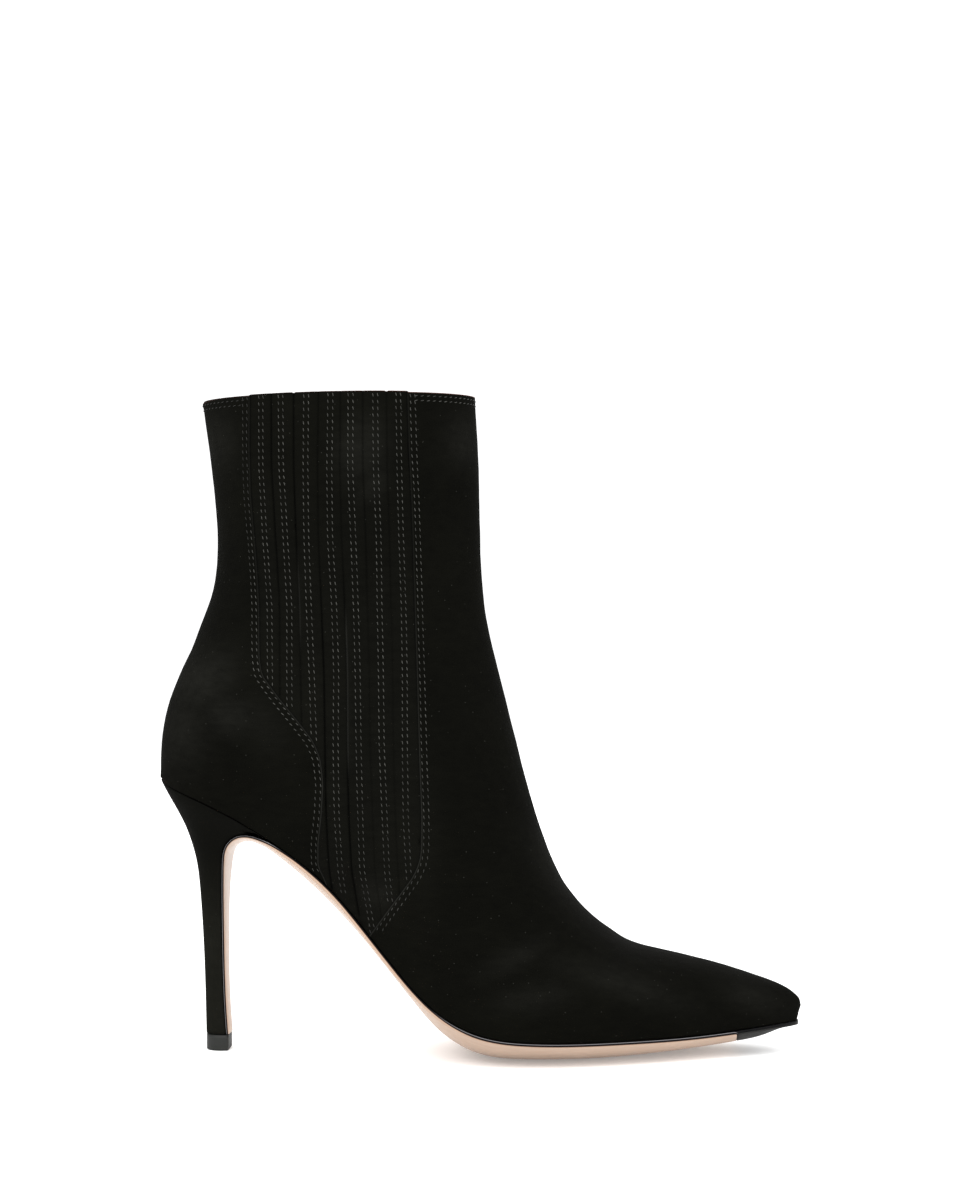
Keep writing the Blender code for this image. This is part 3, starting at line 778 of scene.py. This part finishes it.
# Two slits are rubbed pale along a stretch instead of lying in shadow:
# line, lowest and highest place, strength
WORN_SLITS = ((slits[3], 100.0, 168.0, 0.5), (slits[1], 146.0, 188.0, 0.3))
WORN_FADE = 14.0            # how far a worn stretch takes to begin and to end
WORN_BESIDE, WORN_LIP = 0.22, 0.24
CLEARED, CLEAR_WIDTH = 0.8, 1.0
for line, low, high, strength in WORN_SLITS:
    stretch = ramp(z, low, low + WORN_FADE) * ramp(-z, -high, -high + WORN_FADE)
    worn = bell(apart(line) - WORN_BESIDE, WORN_LIP) * stretch * in_panel
    rubbed = np.maximum(rubbed, strength * worn)
    slit_paint *= 1.0 - CLEARED * bell(apart(line), CLEAR_WIDTH) * stretch
print(len(DUST), "dusty patches,", len(WORN_SLITS), "worn slits")

# %% The top of the panel
# It stands a little over the panels beside it, two slits notch it, and the top line is rounded
# at the back
PANEL_OVER_TOP = 0.5
TOP_FADE = (-3.0, -0.2)     # heights over the top line between which the top starts to move
BACK_CORNER, CORNER_WIDTH = 0.7, 5.0
NOTCH_DEPTH, NOTCH_WIDTH = 0.4, 0.35
NOTCH_FADE = (-0.5, -0.05)

near_top = ramp(-below_top, *TOP_FADE)
corner = bell(x - COLLAR_BACK_X, CORNER_WIDTH)
places[skin, 2] += (PANEL_OVER_TOP * in_panel - BACK_CORNER * corner) * near_top
for line in (slits[1], slits[5]):
    notch = bell(apart(line), NOTCH_WIDTH) * ramp(-below_top, *NOTCH_FADE)
    places[skin, 2] -= NOTCH_DEPTH * notch
print("the panel's top reaches", round(places[skin, 2].max(), 2), "mm")

# %% Moving the skin and keeping the painted layers
# layer, its values on the outer skin, its value elsewhere
LAYERS = (
    ("slit", slit_paint, 0.0),
    ("rubbed", rubbed, 0.0),
    ("dusty", dusty, 0.0),
    ("below", np.clip(below_top, -1.0, 10.0), -5.0),
)
places[skin] += outward[skin] * relief[:, None]
mesh.vertices.foreach_set("co", (places * MM).ravel())
for name, values, elsewhere in LAYERS:
    whole = np.full(count, elsewhere)
    whole[skin] = values
    layer = mesh.attributes.new(name, "FLOAT", "POINT")
    layer.data.foreach_set("value", whole)
mesh.update()
print("relief from", round(relief.min(), 2), "to", round(relief.max(), 2), "mm")
settle(upper, "upper", "suede", panel_suede, lining_leather, panel_suede)

# %% [markdown]
# ## Thread
# A lockstitch shows as a short bead of thread that dives into a hole at both ends. A dashed
# texture would lie flat where the shaft turns away, so each stitch has a shape of its own.
# One bead is made from a small sphere, drawn out; arrays then lay copies of it along each
# line, where a ray from the side meets the finished skin.

# %% One bead of thread
PITCH = 2.42            # from stitch to stitch
BEAD = 1.35             # the length that shows
THICK = 0.36

bead_bm = bmesh.new()
bmesh.ops.create_uvsphere(bead_bm, u_segments=6, v_segments=4, radius=0.5)
bmesh.ops.scale(bead_bm, vec=(THICK, THICK, BEAD), verts=bead_bm.verts)
bead_mesh = bpy.data.meshes.new("bead")
bead_bm.to_mesh(bead_mesh)
bead_bm.free()
bead_points = np.array([v.co for v in bead_mesh.vertices])
bead_faces = [list(face.vertices) for face in bead_mesh.polygons]
print("a bead has", len(bead_faces), "faces")

# %% Stitches along a path
LAST_STITCH = 0.3       # the least room at the end of a path
REACH = 0.8             # how far ahead and behind a stitch its direction is read


def walk(hits):
    """Beads at even steps along a path of (place, normal) hits."""
    spots = np.array([place for place, _ in hits])
    normals = np.array([normal for _, normal in hits])
    run = np.concatenate(([0.0], np.cumsum(np.linalg.norm(np.diff(spots, axis=0), axis=1))))

    def read(values, step):
        return np.array([np.interp(step, run, values[:, i]) for i in range(3)])

    laid = []
    for step in np.arange(PITCH / 2, run[-1] - LAST_STITCH, PITCH):
        along = read(spots, step + REACH) - read(spots, step - REACH)
        laid.append((read(spots, step), along, read(normals, step)))
    return laid


# %% Paths down the sides
FAR_OUT = 80.0          # the rays start this far from the middle
SCAN_STEP = 0.4         # from one ray down to the next
LEAST_SIDEWAYS = 0.3    # the least share of a normal that is taken to point sideways
surface = BVHTree.FromObject(upper, bpy.context.evaluated_depsgraph_get())


def in_the_panel(x, z):
    """Whether a place on the side lies between the two panel edges."""
    return back_edge.away(x, z) > 0.2 and front_edge.away(x, z) < -0.2


def side_path(line, shift, low, high, side, kept=None):
    """Hits down one side, at a distance from a line, until kept says no."""
    hits = []
    for height in np.arange(high, low, -SCAN_STEP):
        level = line.at(height)
        for _ in range(2):
            start = Vector((level, side * FAR_OUT, height)) * MM
            place, normal, _, _ = surface.ray_cast(start, Vector((0, -side, 0)))
            if place is None:
                break
            turn = max(abs(normal.y), LEAST_SIDEWAYS) / math.hypot(normal.x, normal.y)
            level = line.at(height) + shift * line.lean(height) * turn
        if place is None:
            continue
        if kept and not kept(level, height):
            break
        hits.append((place / MM, normal))
    return hits


# %% Paths round the top line
COLLAR_MIDDLE = Vector((45.0, 0.0, 0.0))
COLLAR_MIDDLE_Z = 241.9 # the height of the top line over it
ROUND_COLLAR = 90.0     # the rays start this far from the middle
SEAM_HEIGHT = 240.0     # where the panel's seams meet the top lines
HALF_DEGREES = 721      # rays round the collar, half a degree apart


def top_path(depth, front):
    """Hits round the back or the front, at a depth under the top line."""
    hits = []
    first = front_seam.at(SEAM_HEIGHT) if front else back_seam.at(SEAM_HEIGHT)
    start = -math.pi if front else 0.0
    for turn in np.linspace(start, start + 2 * math.pi, HALF_DEGREES):
        outwards = Vector((math.cos(turn), math.sin(turn), 0.0))
        aim = COLLAR_MIDDLE + outwards * ROUND_COLLAR
        aim.z = COLLAR_MIDDLE_Z + outwards.x * COLLAR_RISE / 2 - depth
        place, normal, _, _ = surface.ray_cast(aim * MM, -outwards)
        if place is None:
            continue
        if (place.x / MM > first) == front:
            hits.append((place / MM, normal))
    return hits


# %% Sewing
SLANT = math.radians(13.0)      # a lockstitch lies slightly across its line
LIFT = 0.06                     # of a bead's middle over the suede
FIRST_STITCH = 243.0            # the height where the rows start
SEAM_ENDS = ((back_seam, 69.0), (front_seam, 48.0))


def sew(name, paths):
    """One piece of all the beads along several paths."""
    beads = [bead for path in paths for bead in walk(path)]
    points = []
    faces = []
    for i, (middle, along, normal) in enumerate(beads):
        along = along / np.linalg.norm(along)
        cross = np.cross(normal, along)
        cross /= np.linalg.norm(cross)
        up = np.cross(along, cross)
        lay = along * math.cos(SLANT) + cross * math.sin(SLANT)
        wide = np.cross(lay, up)
        base = middle + up * LIFT
        start = i * len(bead_points)
        points.append(base + bead_points @ np.array([wide, up, lay]))
        faces += [[start + corner for corner in face] for face in bead_faces]
    mesh = bpy.data.meshes.new(name)
    mesh.from_pydata((np.concatenate(points) * MM).tolist(), [], faces)
    settle(placed(name, mesh), None, "suede", thread)
    print(len(beads), "stitches")


for side, label in ((-1, "outer"), (1, "inner")):
    paths = []
    for line, end in zip(rows, row_ends):
        for pair in (-PAIR, PAIR):
            paths.append(side_path(line, pair, end, FIRST_STITCH, side, in_the_panel))
    for line, low in SEAM_ENDS:
        paths += [side_path(line, pair, low, FIRST_STITCH, side) for pair in (-PAIR, PAIR)]
    sew(f"{label}_side_thread", paths)
sew("top_line_thread", [top_path(depth, front) for depth in TOP_LINES for front in (False, True)])

# %% [markdown]
# ## Sole, heel, tip, pad and sock
# These keep the CAD forms, rounded. The maker inks the rim of the sole, from the upper down
# to a line that a brush draws: low round the ball, high under the arch. A cut in the mesh
# would make that line too sharp, so one layer on the mesh runs from 0 at the upper to 1 at
# the underside, another holds the brush line, and the finish compares them.

# %% The sole
UNDERNEATH, RIM_SIDE = 0, 1
SOLE_EDGE = math.radians(42)
# x, share of the rim that is inked
INK_LINE = ((-5.0, 0.85), (20.0, 0.8), (28.0, 0.4), (75.0, 0.4), (95.0, 0.75), (192.0, 0.8))
OVER_THE_PAD = 192.3    # all of the rim is inked in front of this
ALL_OF_IT = 2.0

bm = weld("outsole")
groups = skins(bm, SOLE_EDGE)
lowest = [min(vert.co.z for face in group for vert in face.verts) for group in groups[:2]]
underside = groups[lowest.index(min(lowest))]
rim = bm.verts.layers.float.new("rim")
inked = bm.verts.layers.float.new("inked")
for vert in bm.verts:
    vert[inked] = float(np.interp(vert.co.x / MM, *zip(*INK_LINE)))
for face in underside:
    for vert in face.verts:
        vert[rim] = 1.0
for face in bm.faces:
    face.material_index = RIM_SIDE
    if face.calc_center_median().x > OVER_THE_PAD * MM:
        for vert in face.verts:
            vert[inked] = ALL_OF_IT
for face in underside:
    face.material_index = UNDERNEATH
crease(bm, SOLE_EDGE)
print("skins of the sole", [len(group) for group in groups[:5]])
sole = rounded(bm, "leather_sole", 2)
settle(sole, "outsole", "sole_leather", bottom_leather, rim_leather)

# %% Heel, tip, pad and sock
PLAIN_EDGE = math.radians(40)
PLAIN = (
    # node, piece, slot, finish, hold, level
    ("heel", "covered_heel", "suede", heel_suede, HOLD, 2),
    ("heel_tip", "heel_top_piece", "rubber", tip_rubber, 0.85, 2),
    ("toe_pad", "toe_rubber", "rubber", pad_rubber, 0.85, 2),
    ("insole", "sock", "lining_leather", sock_leather, 0.8, 1),
)
for node, piece, slot, finish, hold, level in PLAIN:
    bm = weld(node)
    crease(bm, PLAIN_EDGE, hold)
    settle(rounded(bm, piece, level), node, slot, finish)

# %% [markdown]
# ## Floor, backdrop and light
# The bootie stands on a white sweep. A wide soft light over the camera's left shoulder and an
# even white room give the photo's flat light, with a thin shadow under the ball of the foot.
# The floor glows a little, as a lit sweep does, so that it melts into the white room without
# a horizon; a curved backdrop would need a much wider set to do the same.

# %% The floor
FLOOR_SIZE = (3.0, 2.0, 1.0)
FLOOR_MIDDLE = (0.1, 0.0, 0.0)
WHITE = (1.0, 1.0, 1.0, 1.0)


def white_sweep():
    bm = bmesh.new()
    bmesh.ops.create_grid(bm, x_segments=1, y_segments=1, size=1.0)
    bmesh.ops.scale(bm, vec=FLOOR_SIZE, verts=bm.verts)
    bmesh.ops.translate(bm, vec=FLOOR_MIDDLE, verts=bm.verts)
    mesh = bpy.data.meshes.new("floor")
    bm.to_mesh(mesh)
    bm.free()
    floor = placed("floor", mesh)
    look = Finish("white_floor", Roughness=0.9, Specular_IOR_Level=0.2, Emission_Strength=0.2)
    look.set("Base Color", (0.9, 0.9, 0.9, 1.0))
    look.set("Emission Color", WHITE)
    mesh.materials.append(look.material)


white_sweep()
print("floor of", FLOOR_SIZE[0] * 2, "by", FLOOR_SIZE[1] * 2, "m")

# %% The lights and the white room
AIM = Vector((0.1, 0.0, 0.1))
ROOM_LIGHT = 1.2
LIGHTS = (
    # name, place, size, power in watts
    ("key", (-0.5, -1.1, 1.5), 1.2, 26.0),
    ("fill", (1.4, -0.6, 0.9), 1.0, 9.0),
    ("back", (0.1, 1.3, 1.2), 1.2, 10.0),
)


def soft_light(name, place, size, power):
    """A square lamp that shines at the shoe."""
    data = bpy.data.lights.new(name, "AREA")
    data.shape = "SQUARE"
    data.size = size
    data.energy = power
    light = placed(name, data)
    light.location = place
    light.rotation_euler = (AIM - light.location).to_track_quat("-Z", "Y").to_euler()


for light in LIGHTS:
    soft_light(*light)

world = bpy.data.worlds.new("white_room")
world.use_nodes = True
room = world.node_tree.nodes["Background"]
room.inputs["Color"].default_value = WHITE
room.inputs["Strength"].default_value = ROOM_LIGHT
bpy.context.scene.world = world
bpy.context.scene.view_settings.view_transform = "Standard"
print(len(LIGHTS), "lights and a white room")
